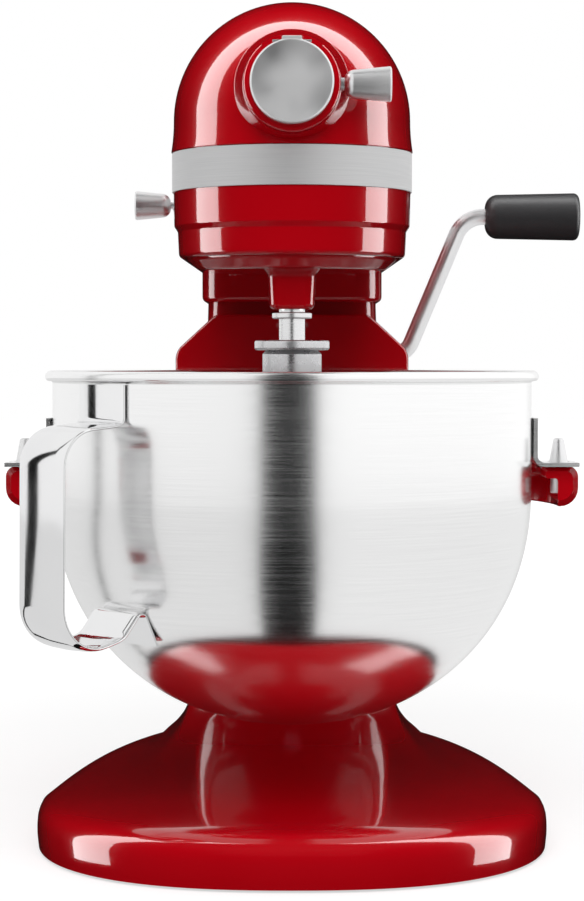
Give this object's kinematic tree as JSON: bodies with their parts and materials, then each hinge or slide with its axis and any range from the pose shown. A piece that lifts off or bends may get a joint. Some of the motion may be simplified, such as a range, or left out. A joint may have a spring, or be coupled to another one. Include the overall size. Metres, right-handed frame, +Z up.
{
  "type": "bowl-lift stand mixer",
  "caption": "Bowl-lift stand mixer with domed head, planetary dough hook, steel bowl raised by a side lever, speed knob and front attachment hub.",
  "frame": {"origin": "centre of the overall outline on the table", "axes": "+Z up, +Y to the rear of the mixer, +X to the right seen from the front"},
  "size_m": [0.3008, 0.3737, 0.409],
  "materials": {
    "red_enamel": "glossy fired enamel",
    "brushed_band": "brushed along its length",
    "bright_metal": "bright plated",
    "brushed_bowl": "brushed around",
    "polished_strap": "polished",
    "black_grip": "satin moulded",
    "black_rubber": "matt",
    "machined_steel": "turned",
    "gear_steel": "hobbed",
    "cast_aluminium": "burnished casting",
    "bronze_bush": "sintered",
    "copper_wire": "lacquered wire",
    "core_steel": "stacked sheets",
    "circuit_board": "lacquered"
  },
  "bodies": {
    "stand": {"base_casting": "red_enamel", "rubber_feet": "black_rubber", "column_bolts": "machined_steel", "column_casting": "red_enamel", "head_upper_housing": "red_enamel", "head_lower_housing": "red_enamel", "rear_end_cover": "red_enamel", "trim_band": "brushed_band", "band_screw": "bright_metal", "hub_boss": "red_enamel", "hub_pin": "machined_steel", "hub_bush": "bronze_bush", "second_bush": "bronze_bush", "centre_bush": "bronze_bush", "ring_gear": "gear_steel", "stator": "core_steel", "windings": "copper_wire", "motor_bearings": "machined_steel", "motor_brackets": "cast_aluminium", "control_board": "circuit_board", "cord_inlet": "black_rubber", "lever_bush": "bronze_bush"},
    "lever": {"lift_rod": "bright_metal", "lift_crank": "machined_steel", "lift_grip": "black_grip"},
    "carrier": {"bowl_support": "red_enamel", "locating_pins": "bright_metal", "latch_spring": "machined_steel"},
    "bowl_set": {"bowl": "brushed_bowl", "bowl_handle": "polished_strap", "bowl_brackets": "brushed_bowl", "bowl_stud": "brushed_bowl"},
    "planetary": {"planetary_housing": "red_enamel", "centre_shaft": "machined_steel", "centre_gear": "gear_steel", "miter_gear": "gear_steel", "nose_bush": "bronze_bush"},
    "beater": {"beater_shaft": "machined_steel", "cross_pin": "machined_steel", "planet_pinion": "gear_steel", "nose_washer": "machined_steel", "dough_hook": "cast_aluminium"},
    "second": {"second_gear": "gear_steel", "second_pinion": "gear_steel", "second_shaft": "machined_steel"},
    "motor": {"motor_shaft": "machined_steel", "motor_pinion": "gear_steel", "rotor": "core_steel"},
    "hub_drive": {"hub_gear": "gear_steel", "hub_socket": "machined_steel"},
    "cover": {"hub_cover": "bright_metal"},
    "clamp": {"attachment_knob": "bright_metal"},
    "speed": {"speed_knob": "bright_metal", "speed_stem": "machined_steel", "speed_slider": "black_grip"}
  },
  "joints": [
    {"name": "lift_lever", "type": "hinge", "parent": "stand", "child": "lever", "pos_m": [-0.0102, 0.1105, 0.238], "axis": [-1, 0, 0], "range_deg": [0, 120]},
    {"name": "bowl_lift", "type": "slide", "parent": "stand", "child": "carrier", "axis": [0, 0, -1], "range_m": [0, 0.028]},
    {"name": "bowl_off", "type": "slide", "parent": "carrier", "child": "bowl_set", "axis": [0, 0, 1], "range_m": [0, 0.014]},
    {"name": "planetary_spin", "type": "hinge", "parent": "stand", "child": "planetary", "pos_m": [-0.0102, -0.0595, 0.282], "axis": [0, 0, 1], "continuous": true},
    {"name": "beater_spin", "type": "hinge", "parent": "planetary", "child": "beater", "pos_m": [-0.0102, -0.0835, 0.282], "axis": [0, 0, 1], "continuous": true},
    {"name": "second_spin", "type": "hinge", "parent": "stand", "child": "second", "pos_m": [-0.0102, -0.0115, 0.315], "axis": [0, 0, 1], "continuous": true},
    {"name": "motor_spin", "type": "hinge", "parent": "stand", "child": "motor", "pos_m": [-0.0102, 0.0605, 0.338], "axis": [0, 1, 0], "continuous": true},
    {"name": "hub_spin", "type": "hinge", "parent": "stand", "child": "hub_drive", "pos_m": [-0.0102, -0.0895, 0.3625], "axis": [0, 1, 0], "continuous": true},
    {"name": "hub_cover_flip", "type": "hinge", "parent": "stand", "child": "cover", "pos_m": [-0.0102, -0.1285, 0.3815], "axis": [-1, 0, 0], "range_deg": [0, 105]},
    {"name": "clamp_turn", "type": "hinge", "parent": "stand", "child": "clamp", "pos_m": [0.0138, -0.1225, 0.3625], "axis": [1, 0, 0], "range_deg": [0, 720]},
    {"name": "speed_slide", "type": "slide", "parent": "stand", "child": "speed", "axis": [0, -1, 0], "range_m": [0, 0.044]}
  ],
  "couplings": [
    {"joint": "bowl_lift", "follows": "lift_lever", "m_per_rad": 0.013369},
    {"joint": "beater_spin", "follows": "planetary_spin", "ratio": -3.4615},
    {"joint": "second_spin", "follows": "planetary_spin", "ratio": -3},
    {"joint": "motor_spin", "follows": "planetary_spin", "ratio": -9},
    {"joint": "hub_spin", "follows": "planetary_spin", "ratio": -1}
  ]
}
